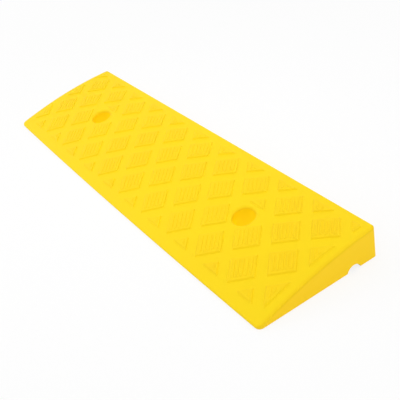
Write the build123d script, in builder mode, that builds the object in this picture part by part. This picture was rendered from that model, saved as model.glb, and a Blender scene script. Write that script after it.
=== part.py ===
from build123d import *
import os
from math import asin, atan2, cos, hypot, radians, sin, sqrt, tan

# A threshold ramp, in millimetres. X runs along the ramp, Y from the low edge to the high edge,
# Z up. The origin is on the floor under the middle of the ramp.

# Overall form
length = 490.0  # at the base, over both end walls
depth = 137.8  # at the base, over the bowed low edge and the leaning back face
height = 32.5  # floor to the high edge, without the pads
lip_height = 3.2  # floor to the walking surface at the low corners
top_radius = 480.0  # convex walking surface, seen from the end
low_edge_bow = 2.3  # how far the low edge swells out at mid-length
end_draft = 4.7  # degrees, end walls lean in towards the top
back_lean = 1.4  # how far the back face leans in on its way up to the high edge
low_corner_radius = 5.0  # upright corners at the low edge
high_corner_radius = 2.5  # upright corners at the high edge
edge_radius = 1.2  # around the walking surface

# Hollow underside
wall = 4.0
roof = 3.6
nose = 13.0  # solid strip behind the low edge
rib = 2.5
rib_end_column = 9  # ribs across the ramp stand on the odd columns of the tread lattice
cable_rib_gap = 5.0  # edge of the cable channel to the middle of the rib beside it

# Tread lattice: pads stand where column and row are both even or both odd
columns_each_way = 10
rows = 5
column_inset = 8.5  # end wall at the base to the outermost column
low_row_inset = 4.7  # middle of the low edge to the lowest row
high_row_inset = 5.8  # high edge to the highest row
row_bow = 2.0  # how far the rows lie further up at the ends than at mid-length
channel = 9.8  # between two neighbouring pads, square to their edges
pad_rise = 1.6
pad_draft = 38.0  # degrees, pad walls
pad_root = 0.8  # how deep a pad's foot reaches under the walking surface
border_end = 11.1  # end wall at the base to the cut pads along it
border_low = 10.6  # low edge to the cut pads along it, at mid-length
border_high = 8.8  # high edge to the cut pads along it, at mid-length

# Fixing wells
well_column = 6
well_setback = 64.85  # high edge to the well's axis
well_radius = 11.5
well_rim = 2.5  # rounding of the well's mouth
well_pad_gap = 15.6  # well's axis up the slope to the cut pad above it
well_row = 2  # row of that pad
fixing_hole_radius = 4.5  # clearance hole for an M8 floor screw

# Loose pieces in the wells
cap_recess = 2.6  # walking surface down to the cap's rim, which follows the slope
cap_clearance = 0.25
cap_height = 16.0  # at the cap's axis, from its seat to the plane of its rim
cap_dish = 9.0  # depth of the hollow ball shape in the cap's top
cap_lip = 0.3  # flat ring around the dish
cap_top = 1.5  # thickness under the dish
cap_skirt = 1.6
cap_edge = 0.12
washer_radius = 10.5
washer_hole_radius = 4.2
washer_thickness = 1.6

# Cable channel along the underside
cable_setback = 27.1  # high edge to the channel's middle
cable_rise = 6.2  # floor to the channel's crown
cable_radius = 8.5

# Feet
foot_proud = 0.5  # what a foot stands out below the moulding
foot_radius = 6.0
foot_edge = 0.4
foot_seat_depth = 3.0
foot_clearance = 0.15
foot_boss_wall = 1.6
foot_columns = (-8, -2, 2, 8)
front_foot_inset = 26.2  # middle of the low edge to the front feet
back_foot_setback = 11.3  # high edge to the back feet

# Places that follow from the sizes
half_length = length / 2
back_y = depth / 2
high_edge_y = back_y - back_lean
low_mid_y = -depth / 2
low_corner_y = low_mid_y + low_edge_bow
base_z = foot_proud
column_pitch = (half_length - column_inset) / columns_each_way
row_pitch = (high_edge_y - low_mid_y - low_row_inset - high_row_inset) / rows
well_x = well_column * column_pitch
well_y = high_edge_y - well_setback
cable_y = high_edge_y - cable_setback
cable_z = cable_rise - cable_radius

# Centre of the arc that the walking surface follows, from the low corners to the high edge
chord = hypot(high_edge_y - low_corner_y, height - lip_height)
chord_angle = atan2(height - lip_height, high_edge_y - low_corner_y)
arc_drop = sqrt(top_radius**2 - (chord / 2) ** 2)
arc_y = (low_corner_y + high_edge_y) / 2 + arc_drop * sin(chord_angle)
arc_z = (lip_height + height) / 2 - arc_drop * cos(chord_angle)


def top_z(y, below=0.0):
    """Height of the walking surface at y, or of the surface that lies a constant distance below it."""
    return arc_z + sqrt((top_radius - below) ** 2 - (y - arc_y) ** 2)


def top_slope(y):
    """Slope of the walking surface at y, in radians."""
    return asin((arc_y - y) / top_radius)


def end_inset(z):
    """How far an end wall leans in at height z."""
    return (z - base_z) * tan(radians(end_draft))


cap_rim_z = top_z(well_y) - cap_recess
cap_seat_z = cap_rim_z - cap_height
cap_radius = well_radius - cap_clearance
dish_radius = ((cap_radius - cap_lip) ** 2 + cap_dish**2) / 2 / cap_dish
dish_lift = dish_radius - cap_dish  # plane of the rim up to the ball's centre
well_slope = top_slope(well_y)
washer_seat_z = cap_seat_z - washer_thickness
foot_rows = (("front", low_mid_y + front_foot_inset), ("back", high_edge_y - back_foot_setback))
foot_places = [(column * column_pitch, y) for _, y in foot_rows for column in foot_columns]
well_places = [(-well_x, well_y), (well_x, well_y)]
sky = height + roof  # a height clear above the whole ramp

# The hollow of the underside: an inner wedge, less the ribs, the well pillars and the foot bosses
cavity_front_y = low_mid_y + nose
cavity_back_y = high_edge_y - wall
cable_rib_y = cable_y - cable_radius - cable_rib_gap
front_rib_y = (cavity_front_y + well_y) / 2
cross_ribs = [(c * column_pitch, 0) for c in range(-rib_end_column, rib_end_column + 1, 2)]

with BuildPart() as cavity:
    for z in (0, sky):
        with BuildSketch(Plane.XY.offset(z)):
            with Locations((0, (cavity_front_y + cavity_back_y) / 2)):
                Rectangle(2 * (half_length - end_inset(z) - wall), cavity_back_y - cavity_front_y)
    loft(ruled=True)
    with BuildSketch(Plane.YZ):
        with BuildLine():
            Polyline(
                (cavity_front_y, top_z(cavity_front_y, roof)),
                (cavity_front_y, 0),
                (cavity_back_y, 0),
                (cavity_back_y, top_z(cavity_back_y, roof)),
            )
            RadiusArc(
                (cavity_front_y, top_z(cavity_front_y, roof)),
                (cavity_back_y, top_z(cavity_back_y, roof)),
                top_radius - roof,
            )
        make_face()
    extrude(amount=half_length, both=True, mode=Mode.INTERSECT)
    with BuildSketch():
        with Locations(*cross_ribs):
            Rectangle(rib, 2 * depth)
        with Locations((0, front_rib_y), (0, well_y), (0, cable_rib_y)):
            Rectangle(length, rib)
        with Locations(*well_places):
            Circle(well_radius + wall)
        with Locations(*foot_places):
            Circle(foot_radius + foot_clearance + foot_boss_wall)
    extrude(amount=sky, mode=Mode.SUBTRACT)

# The tread: drafted rhombic pads, each row on its own tangent plane of the convex surface. Pads are cut
# off along the borders and above the wells.
cell_half_width = column_pitch * row_pitch / hypot(column_pitch, row_pitch)
pad_share = 1 - (channel / 2 - pad_root * tan(radians(pad_draft))) / cell_half_width
pad_half_x = pad_share * column_pitch
pad_half_y = pad_share * row_pitch
border_low_y = low_mid_y + border_low
border_high_y = high_edge_y - border_high

with BuildPart() as tread:
    for row in range(rows + 1):
        row_y = high_edge_y - high_row_inset - row * row_pitch
        slope = top_slope(row_y)
        tangent = Plane((0, row_y, top_z(row_y)), x_dir=(1, 0, 0), z_dir=(0, -sin(slope), cos(slope)))
        pad_places = [c * column_pitch for c in range(-columns_each_way + row % 2, columns_each_way + 1, 2)]
        half_up = pad_half_y / cos(slope)
        lowest = max((border_low_y - row_y) / cos(slope), -half_up)
        highest = min((border_high_y - row_y) / cos(slope), half_up)
        levels = (lowest, 0, highest) if lowest < 0 < highest else (lowest, highest)
        right_side = [(pad_half_x * (1 - abs(level) / half_up), level) for level in levels]
        left_side = [(-x, level) for x, level in reversed(right_side) if x > 0]
        with BuildSketch(tangent.offset(-pad_root)):
            with Locations(*[(x, row_bow * (x / half_length) ** 2) for x in pad_places]):
                Polygon(*right_side, *left_side, align=(Align.NONE, Align.NONE))
            Rectangle(2 * (half_length - border_end), 4 * half_up, mode=Mode.INTERSECT)
            if row == well_row:
                bare = half_up + (well_y + well_pad_gap - row_y) / cos(slope)
                with Locations((-well_x, bare / 2 - half_up), (well_x, bare / 2 - half_up)):
                    Rectangle(2 * pad_half_x, bare, mode=Mode.SUBTRACT)
        extrude(amount=pad_root + pad_rise, taper=pad_draft)

# The moulding: a drafted block under the convex surface, then its hollow, wells, seats, channel and tread
outer_front_y = low_mid_y - edge_radius
outer_back_y = back_y + edge_radius
back_plane = Plane((0, back_y, base_z), z_dir=(0, height - base_z, back_lean))

with BuildPart() as ramp_body:
    with BuildSketch(Plane.XZ):
        with BuildLine():
            Polyline(
                (half_length, base_z),
                (half_length - end_inset(sky), sky),
                (end_inset(sky) - half_length, sky),
                (-half_length, base_z),
                close=True,
            )
        make_face()
    extrude(amount=depth, both=True)
    with BuildSketch():
        with BuildLine():
            Polyline(
                (half_length, low_corner_y),
                (half_length, outer_back_y),
                (-half_length, outer_back_y),
                (-half_length, low_corner_y),
            )
            ThreePointArc((-half_length, low_corner_y), (0, low_mid_y), (half_length, low_corner_y))
        make_face()
    extrude(amount=sky, mode=Mode.INTERSECT)
    split(bisect_by=back_plane, keep=Keep.BOTTOM)
    uprights = ramp_body.edges().filter_by(lambda edge: edge.bounding_box().size.Z > height)
    low_uprights, high_uprights = uprights.sort_by(Axis.Y)[:2], uprights.sort_by(Axis.Y)[2:]
    fillet(low_uprights, radius=low_corner_radius)
    fillet(high_uprights, radius=high_corner_radius)
    with BuildSketch(Plane.YZ):
        with BuildLine():
            Polyline(
                (outer_front_y, top_z(outer_front_y)),
                (outer_front_y, 0),
                (outer_back_y, 0),
                (outer_back_y, top_z(outer_back_y)),
            )
            RadiusArc(
                (outer_front_y, top_z(outer_front_y)), (outer_back_y, top_z(outer_back_y)), top_radius
            )
        make_face()
    extrude(amount=half_length, both=True, mode=Mode.INTERSECT)
    top_face = ramp_body.faces().filter_by(GeomType.CYLINDER).sort_by(SortBy.AREA)[-1]
    fillet(top_face.edges(), radius=edge_radius)

    add(cavity.part, mode=Mode.SUBTRACT)
    with BuildSketch(Plane.XY.offset(washer_seat_z)):
        with Locations(*well_places):
            Circle(well_radius)
    extrude(amount=sky, mode=Mode.SUBTRACT)
    rims = ramp_body.edges(Select.LAST).filter_by(lambda edge: edge.center().Z > cap_rim_z)
    fillet(rims, radius=well_rim)
    with BuildSketch():
        with Locations(*well_places):
            Circle(fixing_hole_radius)
    extrude(amount=sky, mode=Mode.SUBTRACT)
    with BuildSketch(Plane.XY.offset(base_z)):
        with Locations(*foot_places):
            Circle(foot_radius + foot_clearance)
    extrude(amount=foot_seat_depth, mode=Mode.SUBTRACT)
    with BuildSketch(Plane.YZ):
        with Locations((cable_y, cable_z)):
            Circle(cable_radius)
    extrude(amount=length, both=True, mode=Mode.SUBTRACT)
    add(tread.part)

pieces = {"ramp_body": ramp_body}

# Each well holds a washer on its floor and a hollow cap, which stands on the washer. The cap's rim follows
# the slope, and its top is dished like the inside of a ball.
for side, x in (("left", -well_x), ("right", well_x)):
    cap_seat = Plane((x, well_y, cap_seat_z))
    cap_rim = Plane((x, well_y, cap_rim_z), x_dir=(1, 0, 0), z_dir=(0, -sin(well_slope), cos(well_slope)))
    dish_centre = cap_rim.offset(dish_lift).origin
    with BuildPart() as cap_hollow:
        with BuildSketch(cap_seat):
            Circle(cap_radius - cap_skirt)
        extrude(amount=cap_height)
        with Locations(dish_centre):
            Sphere(dish_radius + cap_top, mode=Mode.SUBTRACT)

    with BuildPart() as cap:
        with BuildSketch(cap_seat):
            Circle(cap_radius)
        extrude(amount=sky)
        split(bisect_by=cap_rim, keep=Keep.BOTTOM)
        with Locations(dish_centre):
            Sphere(dish_radius, mode=Mode.SUBTRACT)
        fillet(cap.edges().group_by(Axis.Z)[-1], radius=cap_edge)
        add(cap_hollow.part, mode=Mode.SUBTRACT)
    pieces[side + "_cap"] = cap

    with BuildPart() as washer:
        with BuildSketch(Plane((x, well_y, washer_seat_z))):
            Circle(washer_radius)
            Circle(washer_hole_radius, mode=Mode.SUBTRACT)
        extrude(amount=washer_thickness)
    pieces[side + "_washer"] = washer

# Feet sit in their blind seats and stand a little proud of the moulding
for row_name, y in foot_rows:
    for number, column in enumerate(foot_columns, start=1):
        with BuildPart() as foot:
            with BuildSketch(Plane((column * column_pitch, y, 0))):
                Circle(foot_radius)
            extrude(amount=foot_proud + foot_seat_depth)
            fillet(foot.edges().group_by(Axis.Z)[0], radius=foot_edge)
        pieces[f"{row_name}_foot_{number}"] = foot

os.makedirs("parts", exist_ok=True)
for name, piece in pieces.items():
    piece.part.label = name
    export_step(piece.part, f"parts/{name}.step")
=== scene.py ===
from math import atan2, cos, hypot, pi, radians, sin, sqrt, tan

import bmesh
import bpy
from mathutils import Matrix, Vector


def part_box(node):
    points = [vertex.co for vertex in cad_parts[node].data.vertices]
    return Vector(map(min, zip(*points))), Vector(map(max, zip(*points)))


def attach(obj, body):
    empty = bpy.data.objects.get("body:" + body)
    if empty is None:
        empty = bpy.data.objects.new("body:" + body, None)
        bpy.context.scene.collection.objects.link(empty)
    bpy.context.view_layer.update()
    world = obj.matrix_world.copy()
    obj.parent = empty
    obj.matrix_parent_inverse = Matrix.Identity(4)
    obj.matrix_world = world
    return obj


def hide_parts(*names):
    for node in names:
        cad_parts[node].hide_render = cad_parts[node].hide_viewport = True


# A yellow threshold ramp. Sizes are in millimetres in the CAD frame: X along the ramp, Y from the low
# edge to the high edge, Z up. A mesh is brought to metres when its piece is finished. The floor, the
# lamps and the camera are in metres.

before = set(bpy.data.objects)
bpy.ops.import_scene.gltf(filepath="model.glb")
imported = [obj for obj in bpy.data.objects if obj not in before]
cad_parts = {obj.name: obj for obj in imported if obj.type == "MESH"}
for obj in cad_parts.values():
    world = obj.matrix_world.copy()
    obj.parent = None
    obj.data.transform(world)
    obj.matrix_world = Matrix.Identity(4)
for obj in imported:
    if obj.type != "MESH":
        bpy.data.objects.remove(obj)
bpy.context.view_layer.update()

MM = 0.001


def node_box(node):
    """Lowest and highest corner of a CAD node, in millimetres."""
    low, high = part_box(node)
    return low / MM, high / MM


def round_node(node):
    """X and Y of the axis, radius, lowest and highest Z of an upright round CAD node, in millimetres."""
    low, high = node_box(node)
    return (low.x + high.x) / 2, (low.y + high.y) / 2, (high.x - low.x) / 2, low.z, high.z


body_low, body_high = node_box("ramp_body")
sides = ("left", "right")
feet = [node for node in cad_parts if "_foot_" in node]

# Overall form of the moulding
half_length = body_high.x
back_y = body_high.y
low_mid_y = body_low.y
base_z = body_low.z
height = 32.5
lip_height = 3.2
low_edge_bow = 2.3
low_corner_y = low_mid_y + low_edge_bow
top_radius = 480.0
end_draft = radians(4.7)
end_lean = height * tan(end_draft)
back_lean = 1.4
high_edge_y = back_y - back_lean
low_corner_radius = 5.0
high_corner_radius = 3.2
brim_round = 0.9
sole_round = 0.3

# Shoulder at each end, where the walking surface turns down, by less where the ramp is below the rise
shoulder = 4.5
shoulder_drop = 0.6
shoulder_rise = 12.0
shoulder_steps = 6

# Centre of the arc that the walking surface follows, from the low corners to the high edge
chord = hypot(high_edge_y - low_corner_y, height - lip_height)
chord_angle = atan2(height - lip_height, high_edge_y - low_corner_y)
arc_drop = sqrt(top_radius**2 - (chord / 2) ** 2)
arc_y = (low_corner_y + high_edge_y) / 2 + arc_drop * sin(chord_angle)
arc_z = (lip_height + height) / 2 - arc_drop * cos(chord_angle)

# Tread lattice: a pad stands where column and row are both even or both odd
columns_each_way = 10
rows = 5
column_inset = 8.5
low_row_inset = 4.7
high_row_inset = 5.8
row_bow = 2.0
column_pitch = (half_length - column_inset) / columns_each_way
row_pitch = (high_edge_y - low_mid_y - low_row_inset - high_row_inset) / rows
first_row_y = high_edge_y - high_row_inset
last_diagonal = columns_each_way + rows - 1
diagonals = range(-last_diagonal, last_diagonal + 1, 2)
border_end = 10.8
border_low = 11.2
border_high = 9.4
field_x = half_length - border_end
field_low_y = low_mid_y + border_low
field_high_y = high_edge_y - border_high

# Pads, and the bars on them
channel = 9.8
pad_rise = 1.3
pad_run = 1.0
pad_round = 0.4
rim_width = 1.8
bar_pitch = 4.0
bars_each_way = 2
bar_places = [count * bar_pitch for count in range(-bars_each_way, bars_each_way + 1)]
bar_half_width = 1.0
bar_rise = 0.36
bar_run = 0.12
bar_round = 0.09
smallest_bar_area = 5.0
cell_half_width = column_pitch * row_pitch / hypot(column_pitch, row_pitch)
pad_share = 1 - channel / 2 / cell_half_width

# Fixing wells, and the pads above them that they cut off
wells = [round_node(f"{side}_cap")[:2] for side in sides]
well_y = wells[0][1]
well_seam = 0.07
well_radius = round_node("left_cap")[2] + well_seam
well_floor_z = node_box("left_washer")[0].z
well_rim_width = 3.6
well_rim_depth = 2.5
well_rim_lift = 0.04
well_rim_steps = 8
well_column = 6
well_row = 2
well_pad_gap = 15.0
well_pad_y = well_y + well_pad_gap
fixing_hole_radius = 4.5

# Caps and washers in the wells
cap_recess = 2.6
cap_dish = 9.0
cap_lip = 0.3
cap_top = 1.5
cap_skirt = 1.6
cap_edge = 0.12
dish_steps = 14
ceiling_steps = 10
washer_hole_radius = 4.2
washer_edge = 0.25

# Hollow underside
wall = 4.0
roof = 3.6
nose = 13.0
rib = 2.5
cable_from_high_edge = 27.1
cable_y = high_edge_y - cable_from_high_edge
cable_radius = 8.5
cable_rise = 6.2
cable_rib_gap = 5.0
hollow_front_y = low_mid_y + nose
hollow_back_y = high_edge_y - wall
cross_ribs = [count * column_pitch for count in range(1 - columns_each_way, columns_each_way, 2)]
long_ribs = [(hollow_front_y + well_y) / 2, well_y, cable_y - cable_radius - cable_rib_gap]
pillar_radius = well_radius + wall

# Feet, and their seats in the underside
foot_clearance = 0.15
foot_boss_wall = 1.6
foot_seat_depth = 3.0
foot_round = 0.4
foot_round_middle = 0.12
groove_places = (1.5, 3.8)
groove_width = 1.3
groove_slope = 0.3
groove_depth = 0.35

# Lines along the ramp that the tread and the roof bend at
bends_in_row = 4
bend_pitch = row_pitch / bends_in_row
bend_lines = [first_row_y - step * bend_pitch for step in range(1, rows * bends_in_row)]

# Facets around round shapes
many_facets = 96
some_facets = 64
few_facets = 48

# Points nearer than the first or, after a carving, the second are one. The slack is room for rounding
# errors where a point is compared with a line, and a tool cuts past a surface by the overcut.
touching = 0.001
carved_touching = 0.0005
slack = 0.01
cell_overcut = 2.0
hole_overcut = 1.0

# Angle from which an edge is rounded, and from which it is shaded as a sharp one
round_angle = radians(25)
crease_angle = radians(32)

# Shares of a direction along Z from which an edge is upright or a face level, and a face is walked on
mostly_z = 0.9
walkable_z = 0.3


def walking_z(y, below=0.0):
    """Height of the walking surface, or of the surface that lies a constant distance below it."""
    return arc_z + sqrt((top_radius - below) ** 2 - (y - arc_y) ** 2)


def end_x(z):
    """Where an end wall stands at that height."""
    return half_length - (z - base_z) * tan(end_draft)


def lattice(place):
    """The two diagonal counts of a place in the tread lattice, both even in the middle of a pad."""
    across = place.x / column_pitch
    down = (first_row_y - place.y) / row_pitch
    return across - down, across + down


def from_even(number):
    """How far a diagonal count is from the nearest even one."""
    return number - 2 * round(number / 2)


def in_field(place):
    """Whether a place is inside the borders of the tread."""
    return abs(place.x) < field_x and field_low_y < place.y < field_high_y


def on_well_pad(place):
    """Whether a place is on one of the two pads that the wells cut off."""
    falling, rising = (round(number / 2) for number in lattice(place))
    return abs(falling + rising) == well_column and rising - falling == well_row


def in_rhombus(place):
    """Whether a place is in the outline of a whole pad."""
    return all(abs(from_even(number)) < pad_share for number in lattice(place))


def on_pad(place):
    """Whether a pad stands at that place, which none does on the borders and beside the wells."""
    return in_field(place) and in_rhombus(place) and not (on_well_pad(place) and place.y < well_pad_y)


def under_bar(place):
    """Whether a place on a pad is under one of its bars."""
    offset = from_even(lattice(place)[0]) * cell_half_width
    return any(abs(offset - bar) < bar_half_width for bar in bar_places)


# Mesh helpers


def cut(bm, faces, place, normal):
    """Cuts those faces along a plane."""
    touched = {part for face in faces for part in (face, *face.edges, *face.verts)}
    bmesh.ops.bisect_plane(bm, geom=list(touched), dist=touching, plane_co=place, plane_no=normal)


def inset(bm, faces, width, depth):
    """Draws those faces in by a width and raises what is inside."""
    bmesh.ops.inset_region(
        bm, faces=faces, thickness=width, depth=depth, use_boundary=True, use_even_offset=True
    )


def rounded(bm, edges, size, segments):
    """Rounds those edges."""
    bmesh.ops.bevel(
        bm, geom=edges, offset=size, offset_type="OFFSET", segments=segments, profile=0.5,
        affect="EDGES", clamp_overlap=True, material=-1,
    )


def sharp(bm, wanted=lambda edge: True):
    """Wanted edges where two faces meet at an angle that is rounded."""
    between = [e for e in bm.edges if len(e.link_faces) == 2]
    return [e for e in between if e.calc_face_angle() > round_angle and wanted(e)]


def post(bm, x, y, low, high, radius, facets):
    """Adds an upright round post."""
    bmesh.ops.create_cone(
        bm, cap_ends=True, segments=facets, radius1=radius, radius2=radius, depth=high - low,
        matrix=Matrix.Translation((x, y, (low + high) / 2)),
    )


def turned(outline, facets, ring=False):
    """A shape turned about the Z axis from an outline of radius and Z, with flat ends or as a ring."""
    bm = bmesh.new()
    points = [bm.verts.new((radius, 0, z)) for radius, z in outline]
    ends = points[1:] + points[:1] if ring else points[1:]
    lines = [bm.edges.new(pair) for pair in zip(points, ends)]
    bmesh.ops.spin(
        bm, geom=points + lines, cent=(0, 0, 0), axis=(0, 0, 1), angle=2 * pi, steps=facets,
        use_merge=True,
    )
    bmesh.ops.remove_doubles(bm, verts=bm.verts, dist=touching)
    bmesh.ops.holes_fill(bm, edges=[e for e in bm.edges if e.is_boundary], sides=0)
    bmesh.ops.recalc_face_normals(bm, faces=bm.faces)
    return bm


def carved(body, tool):
    """The body less the tool, as a new bmesh."""
    blanks = []
    for bm in (body, tool):
        mesh = bpy.data.meshes.new("blank")
        bm.to_mesh(mesh)
        bm.free()
        blank = bpy.data.objects.new("blank", mesh)
        bpy.context.scene.collection.objects.link(blank)
        blanks.append(blank)
    cutting = blanks[0].modifiers.new("cutting", "BOOLEAN")
    cutting.object = blanks[1]
    cutting.operation = "DIFFERENCE"
    cutting.solver = "EXACT"
    result = bmesh.new()
    result.from_object(blanks[0], bpy.context.evaluated_depsgraph_get())
    bmesh.ops.remove_doubles(result, verts=result.verts, dist=carved_touching)
    bmesh.ops.dissolve_degenerate(result, edges=result.edges, dist=carved_touching)
    for blank in blanks:
        mesh = blank.data
        bpy.data.objects.remove(blank)
        bpy.data.meshes.remove(mesh)
    return result


def islands(faces):
    """Groups of those faces that hang together by their edges."""
    left = set(faces)
    groups = []
    while left:
        group = []
        front = [left.pop()]
        while front:
            face = front.pop()
            group.append(face)
            beside = {f for e in face.edges for f in e.link_faces} & left
            left -= beside
            front.extend(beside)
        groups.append(group)
    return groups


def finished(bm, name, paint, body, node):
    """Makes a piece of a bmesh in millimetres, in place of a CAD node."""
    bmesh.ops.scale(bm, vec=(MM, MM, MM), verts=bm.verts)
    mesh = bpy.data.meshes.new(name)
    for face in bm.faces:
        face.smooth = True
    bm.to_mesh(mesh)
    bm.free()
    mesh.set_sharp_from_angle(angle=crease_angle)
    mesh.materials.append(paint)
    piece = bpy.data.objects.new(name, mesh)
    bpy.context.scene.collection.objects.link(piece)
    even = piece.modifiers.new("even shading", "WEIGHTED_NORMAL")
    even.keep_sharp = True
    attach(piece, body)
    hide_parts(node)


# The moulding


def tread_outline():
    """The walking surface laid out flat, cut along the outlines of its pads."""
    bm = bmesh.new()
    bmesh.ops.create_grid(bm, x_segments=1, y_segments=1, size=1)
    spread = Matrix.Diagonal((half_length, (high_edge_y - low_corner_y) / 2, 1, 1))
    middle = Matrix.Translation((0, (high_edge_y + low_corner_y) / 2, 0))
    bmesh.ops.transform(bm, matrix=middle @ spread, verts=bm.verts)

    for x in (-field_x, field_x):
        cut(bm, bm.faces, (x, 0, 0), (1, 0, 0))
    for y in (field_low_y, field_high_y):
        cut(bm, bm.faces, (0, y, 0), (0, 1, 0))
    for count in diagonals:
        for number in (count - pad_share, count + pad_share):
            for lean in (1, -1):
                field = [f for f in bm.faces if in_field(f.calc_center_median())]
                start = (number * column_pitch, first_row_y, 0)
                cut(bm, field, start, (row_pitch, lean * column_pitch, 0))
    middles = {f: f.calc_center_median() for f in bm.faces}
    well_pads = [f for f, place in middles.items() if on_well_pad(place) and in_rhombus(place)]
    cut(bm, well_pads, (0, well_pad_y, 0), (0, 1, 0))
    return bm


def raise_pads(bm):
    """Raises the pads, with sloping sides and a rounded top edge."""
    inset(bm, [f for f in bm.faces if on_pad(f.calc_center_median())], pad_run, pad_rise)
    rounded(bm, sharp(bm, lambda edge: edge.is_convex), pad_round, segments=2)


def raise_bars(bm):
    """Raises low bars on the pads, inside a plain rim."""
    ribbed = bm.faces.layers.int.new("ribbed")
    tops = [f for f in bm.faces if min(v.co.z for v in f.verts) > pad_rise - touching]
    inset(bm, tops, rim_width, 0)
    for face in tops:
        face[ribbed] = 1
    for count in diagonals:
        for bar in bar_places:
            for side in (bar - bar_half_width, bar + bar_half_width):
                number = count + side / cell_half_width
                beds = [
                    f for f in bm.faces
                    if f[ribbed] and abs(lattice(f.calc_center_median())[0] - count) < pad_share
                ]
                cut(bm, beds, (number * column_pitch, first_row_y, 0), (row_pitch, column_pitch, 0))

    strips = islands([f for f in bm.faces if f[ribbed] and under_bar(f.calc_center_median())])
    long_strips = [strip for strip in strips if sum(f.calc_area() for f in strip) > smallest_bar_area]
    inset(bm, [f for strip in long_strips for f in strip], bar_run, bar_rise)
    crest_z = pad_rise + bar_rise - slack
    crests = sharp(bm, lambda edge: edge.is_convex and max(v.co.z for v in edge.verts) > crest_z)
    rounded(bm, crests, bar_round, segments=2)


def bend_tread(bm):
    """Lays the flat tread on its arc, bows its rows and low edge, and fits its ends to the end walls."""
    for y in bend_lines:
        cut(bm, bm.faces, (0, y, 0), (0, 1, 0))
    for count in range(1 - columns_each_way, columns_each_way):
        low_strip = [f for f in bm.faces if f.calc_center_median().y < field_low_y]
        cut(bm, low_strip, (count * column_pitch, 0, 0), (1, 0, 0))
    for v in bm.verts:
        out = (v.co.x / half_length) ** 2
        from_low_edge = v.co.y - low_corner_y
        to_end = (half_length - abs(v.co.x)) / border_end
        to_high_edge = (high_edge_y - v.co.y) / border_high
        to_low_edge = from_low_edge / (field_low_y - low_corner_y)
        v.co.y += row_bow * out * max(0, min(1, to_end, to_high_edge, to_low_edge))
        if from_low_edge < slack:
            v.co.y -= low_edge_bow * (1 - out)
        v.co.z += walking_z(v.co.y)
        if abs(v.co.x) > half_length - slack:
            v.co.x *= end_x(v.co.z) / half_length


def add_walls(bm):
    """Adds the walls around the tread and the sole under them."""
    outline = [e for e in bm.edges if e.is_boundary]
    drawn = bmesh.ops.extrude_edge_only(bm, edges=outline)["geom"]
    for v in (part for part in drawn if isinstance(part, bmesh.types.BMVert)):
        if abs(v.co.x) > end_x(v.co.z) - slack:
            v.co.x *= half_length / abs(v.co.x)
        if v.co.y > high_edge_y - slack:
            v.co.y = back_y
        v.co.z = base_z
    bmesh.ops.contextual_create(bm, geom=[e for e in bm.edges if e.is_boundary])
    bmesh.ops.recalc_face_normals(bm, faces=bm.faces)


def is_corner(edge, y):
    """Whether an edge is an upright corner of an end wall, near that Y."""
    rise = edge.verts[0].co - edge.verts[1].co
    at_end = all(abs(v.co.x) > half_length - end_lean - slack for v in edge.verts)
    at_y = all(abs(v.co.y - y) < back_lean + slack for v in edge.verts)
    return abs(rise.z) > mostly_z * rise.length and at_end and at_y


def round_outer_edges(bm):
    """Rounds the upright corners, the brim around the walking surface and the edge of the sole."""
    for size, y in ((high_corner_radius, back_y), (low_corner_radius, low_corner_y)):
        rounded(bm, [e for e in bm.edges if is_corner(e, y)], size, segments=6)
    bm.normal_update()
    sole = {f for f in bm.faces if f.normal.z < -mostly_z}
    walls = {f for base in sole for e in base.edges for f in e.link_faces} - sole
    wall_edges = [e for e in bm.edges if len(walls.intersection(e.link_faces)) == 1]
    brim = [e for e in wall_edges if sole.isdisjoint(e.link_faces)]
    rounded(bm, brim, brim_round, segments=4)
    bm.normal_update()
    sole_edges = [e for e in bm.edges if any(f.normal.z < -mostly_z for f in e.link_faces)]
    rounded(bm, sole_edges, sole_round, segments=2)
    bm.normal_update()


def turn_down_ends(bm):
    """Turns the walking surface down a little towards both ends."""
    low_end_x = end_x(walking_z(low_corner_y))
    high_end_x = end_x(walking_z(high_edge_y))
    end_slant = (low_end_x - high_end_x) / (high_edge_y - low_corner_y)
    for side in (-1, 1):
        for step in range(1, shoulder_steps + 1):
            walked_on = [f for f in bm.faces if f.normal.z > walkable_z]
            border = [f for f in walked_on if f.calc_center_median().x * side > field_x]
            line_x = end_x(walking_z(0)) - shoulder * step / shoulder_steps
            cut(bm, border, (side * line_x, 0, 0), (side, end_slant, 0))
    for v in bm.verts:
        gap = end_x(v.co.z) - abs(v.co.x)
        rise = walking_z(v.co.y) - base_z
        if gap < shoulder and v.co.z - base_z > rise - brim_round - slack:
            v.co.z -= shoulder_drop * (1 - gap / shoulder) ** 2 * min(1, rise / shoulder_rise)


def wedge():
    """The outer form of the moulding, still solid."""
    bm = tread_outline()
    raise_pads(bm)
    raise_bars(bm)
    bend_tread(bm)
    add_walls(bm)
    round_outer_edges(bm)
    turn_down_ends(bm)
    bmesh.ops.triangulate(bm, faces=bm.faces, quad_method="BEAUTY", ngon_method="BEAUTY")
    return bm


def well_tool(x, y):
    """What a well takes away: its bore, and the rounding of its mouth, which follows the slope."""
    quarter = [pi / 2 * step / well_rim_steps for step in range(well_rim_steps + 1)]
    mouth = [
        (
            well_radius + well_rim_width * (1 - cos(turn)),
            well_rim_lift + well_rim_depth * (sin(turn) - 1),
        )
        for turn in quarter
    ]
    reach = height
    outline = [(well_radius, -reach), *mouth, (well_radius + well_rim_width, reach)]
    bm = turned(outline, many_facets)
    for v in bm.verts:
        v.co.x += x
        v.co.y += y
        v.co.z = well_floor_z if v.co.z < slack - reach else v.co.z + walking_z(v.co.y)
    return bm


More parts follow.
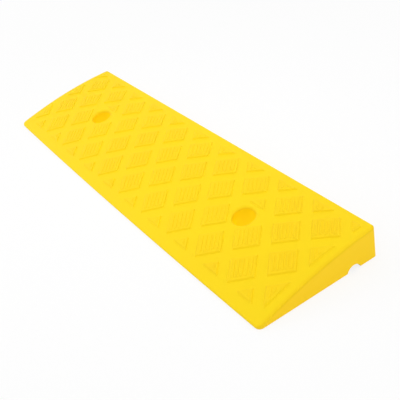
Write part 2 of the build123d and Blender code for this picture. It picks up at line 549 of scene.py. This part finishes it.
def rib_cells():
    """The cells among the walls and ribs of the underside, up to the roof."""
    cells = bmesh.new()
    starts_x = [wall - half_length] + [x + rib / 2 for x in cross_ribs]
    ends_x = [x - rib / 2 for x in cross_ribs] + [half_length - wall]
    starts_y = [hollow_front_y] + [y + rib / 2 for y in long_ribs]
    ends_y = [y - rib / 2 for y in long_ribs] + [hollow_back_y]
    for x0, x1 in zip(starts_x, ends_x):
        for y0, y1 in zip(starts_y, ends_y):
            middle = Matrix.Translation(((x0 + x1) / 2, (y0 + y1) / 2, 0))
            size = Matrix.Diagonal((x1 - x0, y1 - y0, 2 * cell_overcut, 1))
            bmesh.ops.create_cube(cells, size=1, matrix=middle @ size)
    for y in bend_lines[1::2]:
        cut(cells, cells.faces, (0, y, 0), (0, 1, 0))
    for v in cells.verts:
        if v.co.z > 0:
            v.co.z = walking_z(v.co.y, roof)
            if abs(v.co.x) > half_length - wall - slack:
                v.co.x *= (end_x(v.co.z) - wall) / (half_length - wall)
    return cells


def hollow_tool():
    """What the underside takes away: the cells, the seats of the feet and the screw holes."""
    under = -height
    over = 2 * height
    foot_posts = [round_node(node)[:3] for node in feet]
    posts = bmesh.new()
    for x, y in wells:
        post(posts, x, y, under, over, pillar_radius, some_facets)
    for x, y, radius in foot_posts:
        post(posts, x, y, under, over, radius + foot_clearance + foot_boss_wall, few_facets)
    hollow = carved(rib_cells(), posts)
    for x, y in wells:
        post(hollow, x, y, under, well_floor_z + hole_overcut, fixing_hole_radius, few_facets)
    for x, y, radius in foot_posts:
        post(hollow, x, y, under, base_z + foot_seat_depth, radius + foot_clearance, few_facets)
    return hollow


def cable_tool():
    """What the cable channel takes away: a lying round bar, longer than the ramp."""
    bm = bmesh.new()
    lying = Matrix.Translation((0, cable_y, cable_rise - cable_radius)) @ Matrix.Rotation(pi / 2, 4, "Y")
    bmesh.ops.create_cone(
        bm, cap_ends=True, segments=many_facets, radius1=cable_radius, radius2=cable_radius,
        depth=3 * half_length, matrix=lying,
    )
    return bm


def moulding():
    """The ramp itself: the wedge less its wells, its hollow underside and its cable channel."""
    bm = wedge()
    for x, y in wells:
        bm = carved(bm, well_tool(x, y))
    bm = carved(bm, hollow_tool())
    return carved(bm, cable_tool())


# Caps, washers and feet


def bowl(centre_z, ball, rim, steps):
    """Outline of the underside of a ball, from near its lowest point out to a rim."""
    reaches = [rim * step / steps for step in range(1, steps + 1)]
    return [(reach, centre_z - sqrt(ball**2 - reach**2)) for reach in reaches]


def well_cap(node):
    """A hollow cup with a dished top, whose rim follows the slope of the walking surface."""
    x, y, radius, low, _ = round_node(node)
    rim_z = walking_z(y) - cap_recess
    bore = radius - cap_skirt
    brink = radius - cap_lip
    ball = (brink**2 + cap_dish**2) / 2 / cap_dish
    ball_z = rim_z - cap_dish + ball
    dish = bowl(ball_z, ball, brink, dish_steps)
    ceiling = bowl(ball_z, ball + cap_top, bore, ceiling_steps)
    bm = turned([*dish, (radius, rim_z), (radius, low), (bore, low), *reversed(ceiling)], some_facets)
    rim_edges = sharp(bm, lambda edge: min(v.co.z for v in edge.verts) > rim_z - slack)
    rounded(bm, rim_edges, cap_edge, segments=3)
    foot_edges = sharp(bm, lambda edge: max(v.co.z for v in edge.verts) < low + slack)
    rounded(bm, foot_edges, cap_edge, segments=2)
    for v in bm.verts:
        if v.co.z > low + 2 * cap_edge:
            v.co.z += walking_z(y + v.co.y) - walking_z(y)
    bmesh.ops.translate(bm, vec=(x, y, 0), verts=bm.verts)
    return bm


def plated_washer(node):
    """A flat washer with rounded edges."""
    x, y, radius, low, high = round_node(node)
    bore = washer_hole_radius
    bm = turned([(bore, low), (radius, low), (radius, high), (bore, high)], some_facets, ring=True)
    rounded(bm, sharp(bm), washer_edge, segments=2)
    bmesh.ops.translate(bm, vec=(x, y, 0), verts=bm.verts)
    return bm


def grip_foot(node):
    """A round foot with two ring grooves in its sole and a rounded lower edge."""
    x, y, radius, low, high = round_node(node)
    outline = []
    for start in groove_places:
        end = start + groove_width
        top = low + groove_depth
        outline += [(start, low), (start + groove_slope, top), (end - groove_slope, top), (end, low)]
    outline += [
        (radius - foot_round, low),
        (radius - foot_round_middle, low + foot_round_middle),
        (radius, low + foot_round),
        (radius, high),
    ]
    bm = turned(outline, few_facets)
    bmesh.ops.translate(bm, vec=(x, y, 0), verts=bm.verts)
    return bm


# Materials


class Paint:
    """A socket in a node tree: arithmetic on it adds Math nodes, and node() adds any other kind."""

    def __init__(self, tree, socket=None):
        self.tree = tree
        self.socket = socket

    def node(self, kind, settings=None, sockets=None, out=0):
        """Adds a node with its settings and the values or links of its sockets, and gives an output."""
        made = self.tree.nodes.new(kind)
        for name, value in (settings or {}).items():
            setattr(made, name, value)
        for name, value in (sockets or {}).items():
            if isinstance(value, Paint):
                self.tree.links.new(value.socket, made.inputs[name])
            else:
                made.inputs[name].default_value = value
        return Paint(self.tree, made.outputs[out]) if made.outputs else None

    def math(self, operation, *values):
        """A Math node on those values."""
        return self.node("ShaderNodeMath", {"operation": operation}, dict(enumerate(values)))

    def __add__(self, other):
        return self.math("ADD", self, other)

    __radd__ = __add__

    def __sub__(self, other):
        return self.math("SUBTRACT", self, other)

    def __rsub__(self, other):
        return self.math("SUBTRACT", other, self)

    def __mul__(self, other):
        return self.math("MULTIPLY", self, other)

    __rmul__ = __mul__

    def __pow__(self, other):
        return self.math("POWER", self, other)

    def step(self, low, high):
        """0 below low, 1 above high, smooth between."""
        return self.node(
            "ShaderNodeMapRange", {"interpolation_type": "SMOOTHSTEP"},
            {"Value": self, "From Min": low, "From Max": high},
        )

    def past(self, band):
        """0 before a band of lengths in millimetres, 1 past it, smooth between."""
        low, high = band
        return self.step(low * MM, high * MM)

    def noise(self, scale, detail, roughness):
        """Noise at this place."""
        return self.node(
            "ShaderNodeTexNoise", None,
            {"Vector": self, "Scale": scale, "Detail": detail, "Roughness": roughness},
        )

    def bump(self, strength, depth):
        """A normal that takes this value as a height, with its depth in millimetres."""
        return self.node(
            "ShaderNodeBump", None, {"Strength": strength, "Distance": depth * MM, "Height": self}
        )

    def mix(self, first, second):
        """The two colours, mixed by this value. A Mix node's colour sockets go by their numbers."""
        return self.node("ShaderNodeMix", {"data_type": "RGBA"}, {0: self, 6: first, 7: second}, out=2)


def material(name):
    """A new material with no nodes, and the palette that adds them."""
    made = bpy.data.materials.new(name)
    made.use_nodes = True
    made.node_tree.nodes.clear()
    return made, Paint(made.node_tree)


def object_place(palette):
    """Object coordinates, in metres."""
    return palette.node("ShaderNodeTexCoord", out="Object")


def surfaced(palette, sockets):
    """Ends a material with a shader that has those values or links."""
    shader = palette.node("ShaderNodeBsdfPrincipled", None, sockets)
    palette.node("ShaderNodeOutputMaterial", None, {"Surface": shader})


def moulded_yellow():
    """Satin yellow, with painted shade along the brim, a redder tone on the walls and a lighter one
    among the pads as painted light, and scuffs on the bars that are partly painted shade.
    """
    yellow = (0.96, 0.655, 0.004, 1)
    light_yellow = (0.96, 0.680, 0.004, 1)
    # Painted light: a lighter, more lemon tone on the channel floors and at the foot of the pads
    channel_light_yellow = (0.96, 0.712, 0.003, 1)
    # Scuffs on the bar tops, in a deeper tone that is also painted shade standing in for the shade among
    # the bars
    scuffed_and_shaded_yellow = (0.94, 0.60, 0.008, 1)
    # Painted light: a redder tone on the walls, for the light that falls on them
    wall_light_yellow = (1.0, 0.655, 0.008, 1)
    # Painted shade: a deeper tone along the brim at each end, where the walking surface turns down into
    # the end wall
    brim_shade_yellow = (0.92, 0.60, 0.002, 1)
    channel_light_share = 0.45
    scuff_and_shade_share = 0.25
    brim_shade_share = 0.55

    # Bands over which a tone comes or goes, in millimetres above the walking surface
    bar_band = (pad_rise + 0.1, pad_rise + bar_rise)
    pad_side_band = (0.3, 1.1)
    ground_band = (-1.2, -0.4)
    brim_shade_band = (-2.8, -1.6)
    wall_band = (-3.2, -2.0)
    # The same, in millimetres from an end wall
    end_band = (0.4, shoulder)

    made, palette = material("moulded yellow")
    place = object_place(palette)
    x, y, z = (palette.node("ShaderNodeSeparateXYZ", None, {0: place}, out=axis) for axis in "XYZ")
    reach = y - arc_y * MM
    above = z - arc_z * MM - ((top_radius * MM) ** 2 - reach * reach) ** 0.5
    from_end = end_x(0) * MM - z * tan(end_draft) - palette.math("ABSOLUTE", x)
    trodden = above.past(bar_band)
    # Where the painted light on the channel floors and the foot of the pads lies
    channel_light = above.past(ground_band) * (1 - above.past(pad_side_band))
    # Where the painted light on the walls lies
    wall_light = 1 - above.past(wall_band)
    # Where the painted shade along the brim of each end wall lies
    brim = (1 - from_end.past(end_band)) * above.past(brim_shade_band)

    flow = place.noise(scale=22.0, detail=3.0, roughness=0.55)
    grain = place.noise(scale=1500.0, detail=2.0, roughness=0.6)
    # Scuff patches on the bar tops, which carry both wear and painted shade
    scuffs_and_shade = place.noise(scale=160.0, detail=4.0, roughness=0.65).step(0.56, 0.72) * trodden
    colour = flow.step(0.3, 0.7).mix(yellow, light_yellow)
    # Mixes in the painted light among the pads
    colour = (channel_light * channel_light_share).mix(colour, channel_light_yellow)
    # Mixes in the scuffs, partly painted shade
    colour = (scuffs_and_shade * scuff_and_shade_share).mix(colour, scuffed_and_shaded_yellow)
    # Mixes in the painted light on the walls
    colour = wall_light.mix(colour, wall_light_yellow)
    # Mixes in the painted shade along the brim
    colour = (brim * brim_shade_share).mix(colour, brim_shade_yellow)
    surfaced(palette, {
        "Base Color": colour,
        "Roughness": 0.50 + 0.10 * flow + 0.12 * scuffs_and_shade,
        "Specular IOR Level": 0.15,
        "Normal": grain.bump(strength=0.25, depth=0.12),
    })
    return made


def cap_lit_yellow():
    """Matt yellow with a fine grain, lighter than the moulding's yellow as painted light against the
    shade deep in the wells.
    """
    # Painted light: lighter than the moulding's yellow, to offset the shade in the well
    yellow = (1.0, 0.690, 0.004, 1)
    light_yellow = (1.0, 0.708, 0.004, 1)

    made, palette = material("cap yellow")
    place = object_place(palette)
    flow = place.noise(scale=60.0, detail=3.0, roughness=0.55)
    grain = place.noise(scale=1900.0, detail=2.0, roughness=0.6)
    surfaced(palette, {
        "Base Color": flow.step(0.3, 0.7).mix(yellow, light_yellow),
        "Roughness": 0.55 + 0.1 * flow,
        "Specular IOR Level": 0.06,
        "Normal": grain.bump(strength=0.2, depth=0.1),
    })
    return made


def zinc_plate():
    """Bright plating with spangles, on brushed steel."""
    dull_zinc = (0.52, 0.53, 0.54, 1)
    bright_zinc = (0.70, 0.70, 0.69, 1)

    made, palette = material("zinc plate")
    place = object_place(palette)
    brushed = palette.node("ShaderNodeMapping", None, {"Vector": place, "Scale": (1.0, 14.0, 1.0)})
    streak = brushed.noise(scale=260.0, detail=4.0, roughness=0.6)
    spangle = place.noise(scale=420.0, detail=2.0, roughness=0.5)
    surfaced(palette, {
        "Base Color": spangle.mix(dull_zinc, bright_zinc),
        "Metallic": 1.0,
        "Roughness": 0.28 + 0.2 * streak,
        "Normal": streak.bump(strength=0.3, depth=0.05),
    })
    return made


def grip_rubber():
    """Matt black rubber with a little dust."""
    black = (0.022, 0.022, 0.023, 1)
    dusty_black = (0.06, 0.058, 0.054, 1)

    made, palette = material("grip rubber")
    place = object_place(palette)
    grain = place.noise(scale=1300.0, detail=3.0, roughness=0.6)
    dust = place.noise(scale=180.0, detail=4.0, roughness=0.6).step(0.5, 0.8)
    surfaced(palette, {
        "Base Color": dust.mix(black, dusty_black),
        "Roughness": 0.72 + 0.15 * grain,
        "Normal": grain.bump(strength=0.4, depth=0.15),
    })
    return made


# Pieces

cap_paint = cap_lit_yellow()
washer_paint = zinc_plate()
foot_paint = grip_rubber()

finished(moulding(), "moulding", moulded_yellow(), "ramp", "ramp_body")

for side in sides:
    cap = well_cap(f"{side}_cap")
    finished(cap, f"{side}_well_cap", cap_paint, f"{side}_plug", f"{side}_cap")
    washer = plated_washer(f"{side}_washer")
    finished(washer, f"{side}_plated_washer", washer_paint, "ramp", f"{side}_washer")

for node in feet:
    finished(grip_foot(node), f"{node}_pad", foot_paint, "ramp", node)

# Floor, light and camera


def shown_directly(palette):
    """1 on what the camera sees straight, in a gloss or through something clear, and 0 elsewhere."""
    rays = ("Is Camera Ray", "Is Glossy Ray", "Is Transmission Ray")
    camera_ray, glossy_ray, clear_ray = (palette.node("ShaderNodeLightPath", out=ray) for ray in rays)
    return palette.math("MAXIMUM", palette.math("MAXIMUM", camera_ray, glossy_ray), clear_ray)


def floor_white():
    """Matt white that shows nearly as the background does, and keeps a shadow."""
    glow_share = 0.8
    made, palette = material("floor white")
    matt = palette.node("ShaderNodeBsdfDiffuse", None, {"Color": (0.93, 0.93, 0.93, 1)})
    glow = palette.node("ShaderNodeEmission", None, {"Color": (1, 1, 1, 1), "Strength": 1.0})
    glowing = shown_directly(palette) * glow_share
    surface = palette.node("ShaderNodeMixShader", None, {0: glowing, 1: matt, 2: glow})
    palette.node("ShaderNodeOutputMaterial", None, {"Surface": surface})
    return made


def studio_world():
    """Even light from all sides, and a background that shows white."""
    ambient = 0.81
    world = bpy.data.worlds.new("studio")
    bpy.context.scene.world = world
    world.use_nodes = True
    world.node_tree.nodes.clear()
    palette = Paint(world.node_tree)
    light = ambient + (1 - ambient) * shown_directly(palette)
    sky = palette.node("ShaderNodeBackground", None, {"Color": (1, 1, 1, 1), "Strength": light})
    palette.node("ShaderNodeOutputWorld", None, {"Surface": sky})


def soft_box(name, place, size, watts, aim=(0, 0, 0), spread=pi):
    """A square lamp that faces a place on the ramp, with its light inside an angle."""
    lamp = bpy.data.lights.new(name, "AREA")
    lamp.energy = watts
    lamp.size = size
    lamp.spread = spread
    box = bpy.data.objects.new(name, lamp)
    box.location = place
    box.rotation_euler = (Vector(aim) - box.location).to_track_quat("-Z", "Y").to_euler()
    bpy.context.scene.collection.objects.link(box)


floor_reach = 6
floor_bm = bmesh.new()
bmesh.ops.create_grid(floor_bm, x_segments=1, y_segments=1, size=floor_reach)
floor_mesh = bpy.data.meshes.new("floor")
floor_bm.to_mesh(floor_mesh)
floor_bm.free()
floor_mesh.materials.append(floor_white())
floor = bpy.data.objects.new("floor", floor_mesh)
bpy.context.scene.collection.objects.link(floor)

studio_world()
soft_box("key", place=(-1.1, -0.7, 0.9), size=1.2, watts=4.6)
soft_box("fill", place=(0.95, 0.7, 1.1), size=1.2, watts=3.6)
soft_box("top", place=(-0.03, 0, 1.5), size=0.35, watts=0.09, aim=(-0.03, 0, 0), spread=radians(32))

# The camera's place, turn and lens were fitted to the outline and the tread of the photographed ramp
lens = bpy.data.cameras.new("camera")
lens.lens = 57.52
lens.sensor_width = 36
camera = bpy.data.objects.new("camera", lens)
camera.location = (0.530610, -0.275286, 0.382026)
camera.rotation_euler = (radians(54.6834), radians(6.4235), radians(54.5215))
bpy.context.scene.collection.objects.link(camera)
bpy.context.scene.camera = camera

bpy.context.scene.view_settings.view_transform = "Standard"
